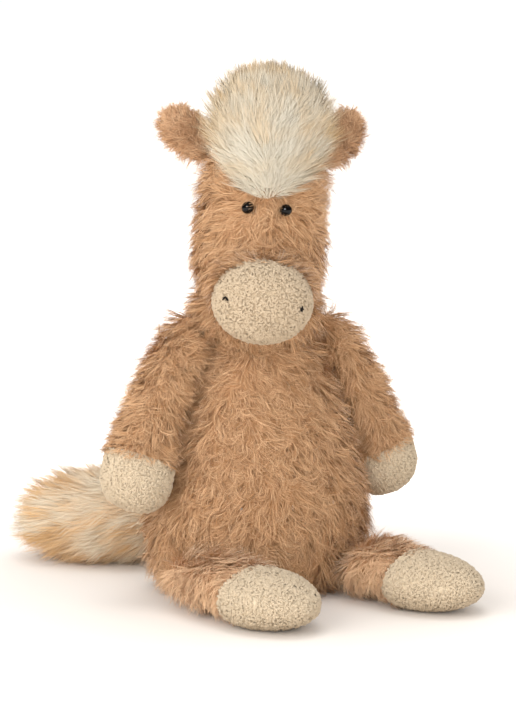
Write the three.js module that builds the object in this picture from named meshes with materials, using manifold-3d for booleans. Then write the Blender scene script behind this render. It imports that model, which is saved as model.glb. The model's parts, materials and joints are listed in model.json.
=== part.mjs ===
// A stuffed horse that sits on a flat seat, in millimetres, with +Z up.
// The origin is at the middle of the seat, the body faces -Y and the toy's left is +X.
// Every cover is an open sewn shell over its own stuffing, and every limb hinges on a round root
// that nests in a dimple of what carries it.
import * as THREE from "three";
import { mergeVertices } from "three/addons/utils/BufferGeometryUtils.js";
import Module from "manifold-3d";

const wasm = await Module();
wasm.setup();

// Clearances and cuts
const gap = 0.3;
const overrun = 2;
const flatDepth = 0.5;
const mergeTolerance = 0.0001;

// Thickness of the covers: cloth with the body of its pile
const furWall = 6;
const loopWall = 4;

// Body: a pear that is broad at the seat
const bodyHeight = 150;
const bodyHalfWidth = 63;
const bodyHalfDepth = 50;
const bodyOutlineShares = [
  [0, 0],
  [0.6, 0],
  [0.86, 0.035],
  [0.96, 0.1],
  [1, 0.23],
  [0.97, 0.4],
  [0.865, 0.58],
  [0.74, 0.72],
  [0.635, 0.83],
  [0.54, 0.91],
  [0.4, 0.97],
  [0, 1],
];
const pelletBagTop = 27;

// Neck: a ball of stuffing that bridges the two neck openings
const neckRise = 3;
const neckAside = -2;
const neckRadius = 22.5;

// Head: an upright column with a snout and a muzzle pad in front
const headYaw = -21;
const headRoll = 4;
const headRise = 1;
const headHeight = 100;
const headHalfWidth = 36.5;
const headHalfDepth = 36;
const headForward = 2;
const headOutlineShares = [
  [0, 0],
  [0.56, 0.005],
  [0.83, 0.06],
  [0.96, 0.17],
  [1, 0.34],
  [0.985, 0.47],
  [0.935, 0.6],
  [0.85, 0.74],
  [0.68, 0.87],
  [0.4, 0.965],
  [0, 1],
];
const snoutPitch = 20;
const snoutLength = 62;
const snoutHalfWidth = 33;
const snoutHalfHeight = 26;
const snoutOutlineShares = [
  [0, 0],
  [0.6, 0.03],
  [1, 0.2],
  [0.95, 0.5],
  [0.8, 0.85],
  [0.5, 0.97],
  [0, 1],
];
const muzzleForward = 50;
const muzzleRise = 11;
const muzzleHalfWidth = 27.4;
const muzzleHalfHeight = 23.3;
const muzzleHalfLength = 21;
const muzzleSeamSetback = 6;

// Eyes: glossy domes on stems, each held by a washer behind the cover
const eyeHalfSpacing = 11.3;
const eyeRise = 59.6;
const eyeRadius = 3.2;
const eyeSink = 0.6;
const stemRadius = 1.3;
const stemLength = 12;
const washerRadius = 4.6;
const washerThickness = 1.4;
const washerPlay = 1;

// Mane: a forelock that fans out above the forehead, and a strip down the nape
const forelockRise = 65.5;
const forelockHeight = 67.5;
const forelockHalfWidth = 29;
const forelockHalfDepth = 17;
const forelockForward = 41;
const forelockLean = 24;
const forelockOutlineShares = [
  [0, 0],
  [0.2, 0.02],
  [0.54, 0.12],
  [0.87, 0.28],
  [1, 0.46],
  [1, 0.64],
  [0.93, 0.79],
  [0.74, 0.9],
  [0.42, 0.975],
  [0, 1],
];
const napeBack = 15;
const napeRise = 84;
const napePitch = 50;
const napeHalfLength = 50;
const napeHalfWidth = 19;
const napeHalfThickness = 17;

// Ears: leaves that stand out from the sides of the crown
const earRise = 82;
const earBack = 3;
const earTiltRight = 46;
const earTiltLeft = 64;
const earLength = 31.5;
const earRootRadius = 6;
const earHalfWidth = 11.8;
const earFlatShare = 0.5;
const earOutlineShares = [
  [0.62, 0.16],
  [0.92, 0.34],
  [1, 0.52],
  [0.86, 0.72],
  [0.52, 0.9],
  [0, 1],
];

// Arms: they hang beside the belly and swell towards the hand
const shoulderHalfSpacing = 42;
const shoulderDropRight = 2.5;
const shoulderDropLeft = 5;
const armTilt = 23.5;
const armForwardRight = 9;
const armForwardLeft = 0;
const armBow = 3;
const armRootRadius = 10;
const armLength = 105;
const armHalfWidth = 19.5;
const armCuff = 77;
const armOutlineShares = [
  [0.69, 0.09],
  [0.77, 0.24],
  [0.84, 0.42],
  [0.89, 0.6],
  [0.96, 0.74],
  [1, 0.84],
  [0.89, 0.93],
  [0.56, 0.985],
  [0, 1],
];

// Legs: they lie on the floor in front of the belly, and end in broad feet
const hipHalfSpacingRight = 50.5;
const hipHalfSpacingLeft = 40.5;
const hipFront = 31;
const hipHeight = 18;
const legSplayRight = -13;
const legSplayLeft = 18;
const legRootRadius = 13;
const legLength = 66;
const legHalfHeight = 17;
const legHalfWidth = 25.5;
const legCuff = 50;
const legOutlineShares = [
  [0.8, 0.14],
  [0.94, 0.28],
  [1, 0.44],
  [0.97, 0.58],
  [0.84, 0.72],
  [0.62, 0.85],
  [0.34, 0.96],
  [0, 1],
];
const footForward = 64;
const footHalfLength = 31;
const footHalfWidth = 25.5;
const footHalfHeight = 14.7;
const footOutlineShares = [
  [0, 0],
  [0.54, 0.035],
  [0.86, 0.15],
  [0.99, 0.31],
  [0.99, 0.46],
  [0.86, 0.66],
  [0.62, 0.84],
  [0.33, 0.95],
  [0, 1],
];

// Tail: a plume that lies on the floor behind the toy's right side
const tailBack = 50;
const tailHeight = 33;
const tailTurn = 49;
const tailDroop = 5;
const tailRootRadius = 9;
const tailLength = 120;
const tailRadius = 29;
const tailOutlineShares = [
  [0.42, 0.08],
  [0.66, 0.2],
  [0.92, 0.38],
  [1, 0.54],
  [0.92, 0.7],
  [0.66, 0.86],
  [0.34, 0.96],
  [0, 1],
];

// A round root as heights below its middle, in shares of its radius
const rootShares = [-1, -0.92, -0.7, -0.38, 0];

// How far the legs and the tail swing either way, in degrees from rest
const legLift = 35;
const legDrop = 75;
const tailForward = 12;
const tailAcross = 105;
const swingStep = 15;

// Facets: the neck joint is finest, and what shows is finer than what the covers hide
const fine = { sides: 26, rings: 12 };
const shown = { sides: 20, rings: 10 };
const limb = { sides: 14, rings: 9 };
const hidden = { sides: 12, rings: 6 };
const small = { sides: 8, rings: 5 };

// Surfaces
const surface = (color, roughness) => new THREE.MeshStandardMaterial({ color, roughness, metalness: 0 });
const tanFur = surface(0xb98b65, 0.95);
const creamLoop = surface(0xdcc7ab, 0.95);
const creamPile = surface(0xddcfb8, 0.9);
const stuffing = surface(0xf4f4f0, 1);
const pellets = surface(0xd8d8d4, 0.8);
const blackGloss = surface(0x0c0a0a, 0.15);
const whitePlastic = surface(0xe6e6e2, 0.5);

const upward = new THREE.Vector3(0, 0, 1);
const rightward = new THREE.Vector3(1, 0, 0);
const radians = THREE.MathUtils.degToRad;

// A closed geometry as a solid
function solidOf(geometry) {
  const bare = geometry.clone();
  bare.deleteAttribute("normal");
  bare.deleteAttribute("uv");
  const merged = mergeVertices(bare, mergeTolerance);
  const vertProperties = merged.attributes.position.array;
  const triVerts = new Uint32Array(merged.index.array);
  return new wasm.Manifold(new wasm.Mesh({ numProp: 3, vertProperties, triVerts }));
}

// A solid as a named mesh
function piece(name, solid, material) {
  const { vertProperties, triVerts } = solid.getMesh();
  const geometry = new THREE.BufferGeometry();
  geometry.setAttribute("position", new THREE.BufferAttribute(new Float32Array(vertProperties), 3));
  geometry.setIndex(new THREE.BufferAttribute(new Uint32Array(triVerts), 1));
  geometry.computeVertexNormals();
  const mesh = new THREE.Mesh(geometry, material);
  mesh.name = name;
  return mesh;
}

// A smooth outline through points of shares, as radius and height
function outline(shares, radius, height, facets) {
  const points = shares.map(([r, h]) => new THREE.Vector3(r * radius, h * height, 0));
  const curve = new THREE.CatmullRomCurve3(points, false, "centripetal");
  const last = facets.rings + 1;
  return Array.from({ length: last + 1 }, (unused, i) => {
    const point = curve.getPoint(i / last);
    const onAxis = i === 0 || i === last;
    return new THREE.Vector2(onAxis ? 0 : Math.max(point.x, 0), point.y);
  });
}

// The outline moved inwards by a wall, along its own normals
function inset(points, wall) {
  if (wall === 0) return points;
  const last = points.length - 1;
  const moved = points.map((point, i) => {
    if (i === 0) return new THREE.Vector2(0, point.y + wall);
    if (i === last) return new THREE.Vector2(0, point.y - wall);
    const along = points[i + 1].clone().sub(points[i - 1]).normalize();
    return new THREE.Vector2(point.x - along.y * wall, point.y + along.x * wall);
  });
  const inside = (point) => point.x > 0 && point.y > moved[0].y && point.y < moved[last].y;
  return moved.filter((point, i) => i === 0 || i === last || inside(point));
}

// An outline turned about +Z, squashed to a half depth share
function turned(points, facets, depthShare = 1) {
  const geometry = new THREE.LatheGeometry(points, facets.sides);
  geometry.rotateX(Math.PI / 2);
  geometry.scale(1, depthShare, 1);
  return geometry;
}

function ball(radius, centre = new THREE.Vector3(), facets = hidden) {
  const geometry = new THREE.SphereGeometry(radius, facets.sides, facets.sides / 2);
  geometry.translate(centre.x, centre.y, centre.z);
  return solidOf(geometry);
}

// The room for a ball: its facets stand clear of the ball all round
function socket(radius, centre = new THREE.Vector3(), facets = hidden) {
  return ball((radius + gap) / Math.cos(Math.PI / facets.sides) ** 2, centre, facets);
}

// A round bar along +Z between two heights
function bar(radius, from, to) {
  const geometry = new THREE.CylinderGeometry(radius, radius, to - from, small.sides);
  geometry.rotateX(Math.PI / 2);
  geometry.translate(0, 0, (from + to) / 2);
  return geometry;
}

// Everything on the far side of a plane that is square to an axis
function beyond(origin, axis, reach) {
  const geometry = new THREE.BoxGeometry(reach, reach, reach);
  geometry.translate(0, 0, reach / 2);
  geometry.applyQuaternion(new THREE.Quaternion().setFromUnitVectors(upward, axis));
  geometry.translate(origin.x, origin.y, origin.z);
  return solidOf(geometry);
}

const reach = 4 * bodyHeight;
const floor = beyond(new THREE.Vector3(), upward.clone().negate(), reach);

// The floor as a turned or moved group sees it
function floorFor(group) {
  group.updateMatrixWorld(true);
  const geometry = new THREE.BoxGeometry(reach, reach, reach);
  geometry.translate(0, 0, -reach / 2);
  geometry.applyMatrix4(group.matrixWorld.clone().invert());
  return solidOf(geometry);
}

// Body
function bodyForm(wall, facets) {
  const points = outline(bodyOutlineShares, bodyHalfWidth, bodyHeight + flatDepth, facets);
  const geometry = turned(inset(points, wall), facets, bodyHalfDepth / bodyHalfWidth);
  geometry.translate(0, 0, -flatDepth);
  return geometry;
}

const neckCentre = new THREE.Vector3(neckAside, 0, bodyHeight + neckRise);
const shoulderHeight = (side) => bodyHeight - (side > 0 ? shoulderDropLeft : shoulderDropRight);
const shoulder = (side) => new THREE.Vector3(side * shoulderHalfSpacing, 0, shoulderHeight(side));
const hipAside = (side) => (side > 0 ? hipHalfSpacingLeft : -hipHalfSpacingRight);
const hip = (side) => new THREE.Vector3(hipAside(side), -hipFront, hipHeight);
const tailRoot = new THREE.Vector3(0, tailBack, tailHeight);
const sides = [-1, 1];
const sideName = (side) => (side > 0 ? "left" : "right");

// The round roots that nest in the body, grown by a wall
function rootsIn(wall) {
  const arms = sides.map((side) => socket(armRootRadius + wall, shoulder(side)));
  const legs = sides.map((side) => socket(legRootRadius + wall, hip(side)));
  const tail = socket(tailRootRadius + wall, tailRoot);
  return [...arms, ...legs, tail].reduce((all, one) => all.add(one));
}

function makeBody() {
  const neck = socket(neckRadius, neckCentre, fine);
  const hollow = solidOf(bodyForm(furWall, hidden)).subtract(rootsIn(furWall));
  const outer = solidOf(bodyForm(0, shown)).subtract(floor);
  const cover = outer.subtract(hollow).subtract(rootsIn(0)).subtract(neck);
  const filling = solidOf(bodyForm(furWall + gap, hidden)).subtract(rootsIn(furWall + gap)).subtract(neck);
  const aboveBag = beyond(new THREE.Vector3(0, 0, pelletBagTop + gap), upward, reach);
  const belowTop = beyond(new THREE.Vector3(0, 0, pelletBagTop), upward.clone().negate(), reach);
  return [
    piece("body_cover", cover, tanFur),
    piece("body_stuffing", filling.intersect(aboveBag), stuffing),
    piece("pellet_bag", filling.intersect(belowTop), pellets),
  ];
}

// Neck
function makeNeck() {
  const group = new THREE.Group();
  group.position.copy(neckCentre);
  group.add(piece("neck_stuffing", ball(neckRadius, new THREE.Vector3(), fine), stuffing));
  return group;
}

// Head, seen from the neck's middle
const snoutAxis = new THREE.Vector3(0, -Math.cos(radians(snoutPitch)), -Math.sin(radians(snoutPitch)));
const muzzleCentre = new THREE.Vector3(0, -muzzleForward, muzzleRise);
const snoutTurn = new THREE.Quaternion().setFromUnitVectors(upward, snoutAxis);

function columnForm(wall, facets) {
  const points = outline(headOutlineShares, headHalfWidth, headHeight, facets);
  const geometry = turned(inset(points, wall), facets, headHalfDepth / headHalfWidth);
  geometry.translate(0, -headForward, headRise);
  return geometry;
}

function snoutForm(wall, facets) {
  const points = outline(snoutOutlineShares, snoutHalfWidth, snoutLength, small);
  const geometry = turned(inset(points, wall), facets, snoutHalfHeight / snoutHalfWidth);
  geometry.translate(0, 0, -snoutLength);
  geometry.applyQuaternion(snoutTurn);
  geometry.translate(muzzleCentre.x, muzzleCentre.y, muzzleCentre.z);
  return geometry;
}

function muzzleForm(wall, facets) {
  const geometry = new THREE.SphereGeometry(1, facets.sides, facets.sides / 2);
  geometry.rotateX(Math.PI / 2);
  geometry.scale(muzzleHalfWidth - wall, muzzleHalfHeight - wall, muzzleHalfLength - wall);
  geometry.applyQuaternion(snoutTurn);
  geometry.translate(muzzleCentre.x, muzzleCentre.y, muzzleCentre.z);
  return geometry;
}

function headForm(coverWall, padWall, facets) {
  const muzzle = solidOf(muzzleForm(padWall, facets));
  return solidOf(columnForm(coverWall, facets)).add(solidOf(snoutForm(coverWall, facets))).add(muzzle);
}

// The place where a ray from inside a form leaves it, with the form's outward normal
function surfaceAt(geometry, from, direction) {
  const mesh = new THREE.Mesh(geometry, new THREE.MeshBasicMaterial({ side: THREE.DoubleSide }));
  const hit = new THREE.Raycaster(from, direction).intersectObject(mesh)[0];
  const normal = hit.face.normal.clone();
  return { point: hit.point, normal: normal.dot(direction) < 0 ? normal.negate() : normal };
}

function seatOfEye(side) {
  const from = new THREE.Vector3(side * eyeHalfSpacing, 0, eyeRise);
  const { point, normal } = surfaceAt(columnForm(0, shown), from, new THREE.Vector3(0, -1, 0));
  const turn = new THREE.Quaternion().setFromUnitVectors(upward, normal);
  return { point: point.addScaledVector(normal, -eyeSink), turn };
}

// A shape drawn along +Z out of the eye's seat, put in its place
function atEye(geometry, side) {
  const { point, turn } = seatOfEye(side);
  geometry.applyQuaternion(turn);
  geometry.translate(point.x, point.y, point.z);
  return solidOf(geometry);
}

const washerDepth = furWall + washerPlay;
const washerBack = washerDepth + washerThickness;
const dome = (extra) => new THREE.SphereGeometry(eyeRadius + extra, hidden.sides, hidden.sides / 2);
const stem = (extra) => bar(stemRadius + extra, -stemLength - extra, 0);
const washerRoom = () => bar(washerRadius + gap, -stemLength - 2 * gap, -washerDepth + gap);

function makeEye(side) {
  const eye = atEye(dome(0), side).add(atEye(stem(0), side));
  const disc = atEye(bar(washerRadius, -washerBack, -washerDepth), side);
  return [
    piece("eye_" + sideName(side), eye, blackGloss),
    piece("eye_washer_" + sideName(side), disc.subtract(atEye(stem(gap), side)), whitePlastic),
  ];
}

function eyeRoom(side) {
  return atEye(dome(gap), side).add(atEye(stem(gap), side)).add(atEye(washerRoom(), side));
}

function makeMane() {
  const points = outline(forelockOutlineShares, forelockHalfWidth, forelockHeight, limb);
  const fan = turned(points, limb, forelockHalfDepth / forelockHalfWidth);
  const lean = Math.tan(radians(forelockLean));
  fan.applyMatrix4(new THREE.Matrix4().set(1, 0, 0, 0, 0, 1, lean, 0, 0, 0, 1, 0, 0, 0, 0, 1));
  fan.translate(0, -forelockForward, forelockRise);
  const nape = new THREE.SphereGeometry(1, limb.sides, limb.sides / 2);
  nape.scale(napeHalfWidth, napeHalfLength, napeHalfThickness);
  nape.rotateX(-radians(napePitch));
  nape.translate(0, napeBack, napeRise);
  const whole = solidOf(fan).add(solidOf(nape));
  return piece("mane", whole.subtract(headForm(-gap, -gap, shown)), creamPile);
}

// A limb's outline: a round root about its hinge, then the limb's own shares
function limbOutline(rootRadius, shares, radius, length, facets) {
  const across = (share) => (rootRadius * Math.sqrt(1 - share * share)) / radius;
  const root = rootShares.map((share) => [across(share), (share * rootRadius) / length]);
  return outline([...root, ...shares], radius, length, facets);
}

function makeEar(side) {
  const from = new THREE.Vector3(0, earBack, earRise);
  const outward = rightward.clone().multiplyScalar(side);
  const { point, normal } = surfaceAt(columnForm(0, shown), from, outward);
  const points = limbOutline(earRootRadius, earOutlineShares, earHalfWidth, earLength, hidden);
  const leaf = turned(points, small, earFlatShare);
  const group = new THREE.Group();
  group.position.copy(point).addScaledVector(normal, earRootRadius + gap);
  const lifted = side > 0 ? earTiltLeft : earTiltRight;
  group.rotation.y = side * (Math.PI / 2 - radians(lifted));
  group.add(piece("ear_" + sideName(side), solidOf(leaf), tanFur));
  return group;
}

function makeHead() {
  const group = new THREE.Group();
  group.position.copy(neckCentre);
  group.rotation.set(0, radians(headRoll), radians(headYaw), "ZYX");
  const neck = socket(neckRadius, new THREE.Vector3(), fine);
  const seam = muzzleCentre.clone().addScaledVector(snoutAxis, -muzzleSeamSetback);
  const behindSeam = seam.clone().addScaledVector(snoutAxis, -gap);
  const outer = headForm(0, 0, shown);
  const hollow = headForm(furWall, loopWall, hidden);
  const filling = headForm(furWall + gap, loopWall + gap, hidden);
  const eyeRooms = sides.map(eyeRoom).reduce((all, one) => all.add(one));
  const fur = outer.subtract(beyond(behindSeam, snoutAxis, reach)).subtract(hollow);
  const cover = fur.subtract(neck).subtract(eyeRooms);
  const pad = outer.intersect(beyond(seam, snoutAxis, reach)).subtract(hollow);
  group.add(piece("head_cover", cover, tanFur));
  group.add(piece("head_stuffing", filling.subtract(neck).subtract(eyeRooms), stuffing));
  group.add(piece("muzzle_cover", pad, creamLoop));
  group.add(makeMane());
  group.add(...sides.flatMap(makeEye));
  group.add(...sides.map(makeEar));
  return group;
}

// The room that an arm leaves for the belly: the body's outline turned about the shoulder hinge
function bellyRoom(group, side, extra) {
  const height = shoulderHeight(side);
  const points = outline(bodyOutlineShares, bodyHalfWidth, bodyHeight + flatDepth, shown);
  const rim = points.filter((point) => point.x > 0 && point.y < height);
  const section = [new THREE.Vector2(0, 0), new THREE.Vector2(height + overrun, 0)];
  rim.forEach((point) => {
    section.push(new THREE.Vector2(height - point.y + flatDepth, point.x + gap + extra));
  });
  section.push(new THREE.Vector2(0, section[section.length - 1].y));
  const geometry = new THREE.LatheGeometry(section, shown.sides);
  geometry.rotateZ(-side * Math.PI / 2);
  geometry.translate(0, 0, height);
  geometry.applyMatrix4(group.matrixWorld.clone().invert());
  const room = solidOf(geometry);
  return extra > 0 ? room : room.subtract(ball(armRootRadius + gap / 2));
}

function makeArm(side) {
  const group = new THREE.Group();
  group.position.copy(shoulder(side));
  const forward = side > 0 ? armForwardLeft : armForwardRight;
  group.rotation.set(-radians(forward), Math.PI - side * radians(armTilt), 0);
  group.updateMatrixWorld(true);
  const form = (wall, facets) => {
    const points = limbOutline(armRootRadius, armOutlineShares, armHalfWidth, armLength, facets);
    const geometry = turned(inset(points, wall), facets);
    bow(geometry, -side * armBow, armLength);
    return solidOf(geometry).subtract(bellyRoom(group, side, wall));
  };
  const seam = new THREE.Vector3(0, 0, armCuff);
  const hand = beyond(seam, upward, reach);
  const handAndGap = beyond(seam.clone().setZ(armCuff - gap), upward, reach);
  const outer = form(0, limb);
  const hollow = form(furWall, hidden);
  const sleeve = outer.subtract(handAndGap).subtract(hollow);
  const mitten = outer.intersect(hand).subtract(hollow);
  const core = form(furWall + gap, hidden);
  const name = "arm_" + sideName(side);
  group.add(piece(name + "_cover", sleeve, tanFur));
  group.add(piece(name + "_stuffing", core, stuffing));
  group.add(piece("hand_" + sideName(side) + "_cover", mitten, creamLoop));
  return group;
}

// Bows a shape that runs along +Z sideways, most in its middle and not at all at its two ends
function bow(geometry, amount, length) {
  const position = geometry.attributes.position;
  for (let i = 0; i < position.count; i += 1) {
    const share = THREE.MathUtils.clamp(position.getZ(i) / length, 0, 1);
    position.setX(i, position.getX(i) + (amount * (1 - Math.cos(2 * Math.PI * share))) / 2);
  }
}

// The copies of the body that a limb meets as it swings, as the resting limb sees them
function swept(group, axis, from, to, extra) {
  const centre = group.position;
  const steps = Math.ceil((to - from) / swingStep);
  let all = null;
  for (let i = 0; i <= steps; i += 1) {
    const geometry = bodyForm(-gap - extra, extra > 0 ? hidden : shown);
    geometry.translate(-centre.x, -centre.y, -centre.z);
    const angle = radians(from + ((to - from) * i) / steps);
    geometry.applyQuaternion(new THREE.Quaternion().setFromAxisAngle(axis, -angle));
    geometry.translate(centre.x, centre.y, centre.z);
    geometry.applyMatrix4(group.matrixWorld.clone().invert());
    const one = solidOf(geometry);
    all = all ? all.add(one) : one;
  }
  return extra > 0 ? all : all.subtract(ball(group.userData.rootRadius + gap / 2));
}

function makeLeg(side) {
  const group = new THREE.Group();
  group.position.copy(hip(side));
  const splay = side > 0 ? legSplayLeft : legSplayRight;
  group.rotation.set(Math.PI / 2, 0, side * radians(splay), "ZYX");
  group.updateMatrixWorld(true);
  group.userData.rootRadius = legRootRadius;
  const rise = legHalfHeight - flatDepth - hipHeight;
  const drop = footHalfHeight - flatDepth - hipHeight;
  const form = (legWall, footWall, facets) => {
    const points = limbOutline(legRootRadius, legOutlineShares, legHalfHeight, legLength, facets);
    const leg = turned(inset(points, legWall), facets);
    leg.scale(legHalfWidth / legHalfHeight, 1, 1);
    lift(leg, rise, legCuff);
    const toes = outline(footOutlineShares, footHalfWidth, 2 * footHalfLength, facets);
    const foot = turned(inset(toes, footWall), facets, footHalfHeight / footHalfWidth);
    foot.translate(0, drop, footForward - footHalfLength);
    const belly = swept(group, rightward, -legLift, legDrop, legWall);
    return solidOf(leg).add(solidOf(foot)).subtract(floorFor(group)).subtract(belly);
  };
  const seam = new THREE.Vector3(0, 0, legCuff);
  const footZone = beyond(seam, upward, reach);
  const footAndGap = beyond(seam.clone().setZ(legCuff - gap), upward, reach);
  const outer = form(0, 0, limb);
  const hollow = form(furWall, loopWall, hidden);
  const trouser = outer.subtract(footAndGap).subtract(hollow);
  const sock = outer.intersect(footZone).subtract(hollow);
  const core = form(furWall + gap, loopWall + gap, hidden);
  group.add(piece("leg_" + sideName(side) + "_cover", trouser, tanFur));
  group.add(piece("leg_" + sideName(side) + "_stuffing", core, stuffing));
  group.add(piece("foot_" + sideName(side) + "_cover", sock, creamLoop));
  return group;
}

// Raises a shape that runs along +Z, smoothly from nothing at its root to the whole amount
function lift(geometry, amount, length) {
  const position = geometry.attributes.position;
  for (let i = 0; i < position.count; i += 1) {
    const share = THREE.MathUtils.smoothstep(position.getZ(i), 0, length);
    position.setY(i, position.getY(i) + amount * share);
  }
}

function makeTail() {
  const group = new THREE.Group();
  group.position.copy(tailRoot);
  group.rotation.set(-Math.PI / 2 - radians(tailDroop), 0, radians(tailTurn), "ZYX");
  group.updateMatrixWorld(true);
  group.userData.rootRadius = tailRootRadius;
  const points = limbOutline(tailRootRadius, tailOutlineShares, tailRadius, tailLength, limb);
  const plume = solidOf(turned(points, limb)).subtract(floorFor(group));
  const room = swept(group, upward, -tailAcross, tailForward, 0);
  group.add(piece("tail", plume.subtract(room), creamPile));
  return group;
}

const horse = new THREE.Group();
horse.name = "plush_horse";
horse.add(...makeBody(), makeNeck(), makeHead(), makeTail());
horse.add(...sides.map(makeArm), ...sides.map(makeLeg));

export default horse;
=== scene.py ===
"""Dresses the stuffed horse, in metres: cloth skins, fur, yarn loops, mane, tail, eyes and nostrils."""

import json
import math

import bmesh
import bpy
import numpy as np
from mathutils import Matrix, Vector
from mathutils.bvhtree import BVHTree
from mathutils.kdtree import KDTree


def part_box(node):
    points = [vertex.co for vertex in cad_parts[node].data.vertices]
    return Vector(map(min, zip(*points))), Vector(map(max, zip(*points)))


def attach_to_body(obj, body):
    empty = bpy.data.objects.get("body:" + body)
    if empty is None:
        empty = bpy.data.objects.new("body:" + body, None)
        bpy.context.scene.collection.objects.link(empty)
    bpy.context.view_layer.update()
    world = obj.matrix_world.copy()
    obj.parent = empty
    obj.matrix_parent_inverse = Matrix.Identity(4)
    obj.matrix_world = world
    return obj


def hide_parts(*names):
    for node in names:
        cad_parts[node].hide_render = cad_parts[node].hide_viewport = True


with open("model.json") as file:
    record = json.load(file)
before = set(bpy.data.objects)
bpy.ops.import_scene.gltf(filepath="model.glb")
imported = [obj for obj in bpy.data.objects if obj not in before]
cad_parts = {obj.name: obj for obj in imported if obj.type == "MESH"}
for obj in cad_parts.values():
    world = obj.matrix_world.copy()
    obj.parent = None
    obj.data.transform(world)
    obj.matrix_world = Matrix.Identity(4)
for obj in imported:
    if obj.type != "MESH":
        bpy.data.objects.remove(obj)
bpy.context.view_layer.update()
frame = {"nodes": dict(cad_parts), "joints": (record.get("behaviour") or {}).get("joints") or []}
MM = 0.001
UP = Vector((0, 0, 1))
SIDES = {"right": -1, "left": 1}

# Where the toy's parts hinge and which way they lie, as in the part's source
NECK = Vector((-2, 0, 153)) * MM
HEAD_TURN = Matrix.Rotation(math.radians(-21), 3, "Z") @ Matrix.Rotation(math.radians(4), 3, "Y")
HEAD_UP = np.array(HEAD_TURN @ UP)
HEAD_FRONT = HEAD_TURN @ Vector((0, -1, 0))
SNOUT_AXIS = Vector((0, -math.cos(math.radians(20)), -math.sin(math.radians(20))))
MUZZLE_CENTRE = Vector((0, -50, 11)) * MM
ARM_TILT = 23.5
ARM_FORWARD = {"right": 9, "left": 0}
SHOULDERS = {"right": Vector((-42, 0, 147.5)) * MM, "left": Vector((42, 0, 145)) * MM}
LEG_SPLAY = {"right": -13, "left": 18}
HIPS = {"right": Vector((-50.5, -31, 18)) * MM, "left": Vector((40.5, -31, 18)) * MM}
TAIL_ROOT = Vector((0, 50, 33)) * MM
TAIL_AXIS = Vector((-0.7518, 0.6536, -0.0872))
TAIL_LENGTH = 0.12

# How far cloth and pile are held off the floor, and what counts as the underside that the toy rests on
FLOOR_CLEARANCE = 0.0004
SEAT_CLEARANCE = 0.001
UNDERSIDE_HEIGHT = 0.003
UNDERSIDE_NORMAL = -0.8

# How deep the fur's cloth lies under the pile, how deep at a seam, and how wide the slope between the two is
FUR_DEPTH = 0.0045
SEAM_DEPTH = 0.0016
SEAM_SLOPE = 0.009

# How far the muzzle's seam lies behind its middle, and how far the pad reaches back under the fur there
MUZZLE_SEAM = 0.006
PAD_OVERLAP = 0.001

# Eyes: a slightly flat dome on a stem, how far its middle lies from the stem's end, and the fur round it
EYE_RADIUS = 0.0034
EYE_FLATNESS = 0.94
EYE_STEM_RADIUS = 0.0013
EYE_STEM_LENGTH = 0.0118
EYE_REACH = 0.0117
EYE_CLEARANCE = 0.0043
BROW_REACH = 0.0045

# Nostrils: the middle of each on the face, and the turns of its thread across and up from there
NOSTRILS = {
    "right": ((-0.0195, 0.0132), ((-0.001, -0.001), (0, 0.0006), (0.0012, -0.0009))),
    "left": ((0.0186, 0.0103), ((0.0001, 0.0011), (0, -0.0011), (-0.0006, 0.0001), (0.0006, 0))),
}
THREAD_RADIUS = 0.00052
THREAD_HEIGHT = 0.0019
WELL_AHEAD = -0.2

# Where the strands and loops vary at random: shares of their set size, and turns in radians
STRAND_LENGTHS = (0.78, 1.08)
TUFT_LENGTHS = (0.7, 1.25)
STRAND_WIDTHS = (0.7, 1.3)
STRAND_TURN = 0.32
TUFT_TURN = 0.4
WIDE_SWIRL = 0.05
FINE_SWIRL = 0.018
LOOP_SIZES = (0.65, 1.25)
YARN_SIZES = (0.8, 1.25)

# A loop of yarn: its size, how far round it goes each way in radians, and how much it tilts and skews
LOOP_RADIUS = 0.00066
YARN_RADIUS = 0.00057
LOOP_HALF_ARC = 1.9
LOOP_TILT = 0.55
LOOP_SKEW = 0.35


# Directions and places
def from_head(point):
    """A point of the head's own frame, in the toy's frame."""
    return NECK + HEAD_TURN @ Vector(point)


def head_local(points):
    """Points of the toy's frame as the head sees them."""
    return (points - np.array(NECK)) @ np.array(HEAD_TURN)


def arm_axis(side):
    tilt = math.radians(ARM_TILT)
    forward = math.radians(ARM_FORWARD[side])
    hang = math.cos(tilt)
    return Vector((SIDES[side] * math.sin(tilt), -math.sin(forward) * hang, -math.cos(forward) * hang))


def leg_axis(side):
    splay = math.radians(LEG_SPLAY[side])
    return Vector((SIDES[side] * math.sin(splay), -math.cos(splay), 0))


def joint_place(name):
    for joint in frame["joints"]:
        if joint["name"] == name:
            return joint["pos_m"]
    raise ValueError(name)


# Camera, floor and light
def look_at(obj, target):
    obj.rotation_euler = (Vector(target) - obj.location).to_track_quat("-Z", "Y").to_euler()


def make_camera(azimuth=-25, elevation=7.5, distance=1.4, target=(0, 0, 0.128), view_angle=15.97):
    camera = bpy.data.objects.new("camera", bpy.data.cameras.new("camera"))
    bpy.context.scene.collection.objects.link(camera)
    around, above = math.radians(azimuth), math.radians(elevation)
    back = Vector((math.sin(around) * math.cos(above), -math.cos(around) * math.cos(above), math.sin(above)))
    camera.location = Vector(target) + back * distance
    look_at(camera, target)
    camera.data.sensor_width = 36
    camera.data.lens = 18 / math.tan(math.radians(view_angle) / 2)
    camera.data.clip_end = 100
    bpy.context.scene.camera = camera


def make_light(name, place, size, power, colour=(1, 1, 1), glint=False):
    """A round lamp. A glint shows only as a reflection, and every other lamp only lights surfaces."""
    lamp = bpy.data.lights.new(name, "AREA")
    lamp.shape = "DISK"
    lamp.size = size
    lamp.energy = power
    lamp.color = colour
    obj = bpy.data.objects.new(name, lamp)
    obj.location = place
    obj.visible_glossy = glint
    obj.visible_diffuse = not glint
    bpy.context.scene.collection.objects.link(obj)
    look_at(obj, (0, 0, 0.1))


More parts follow.
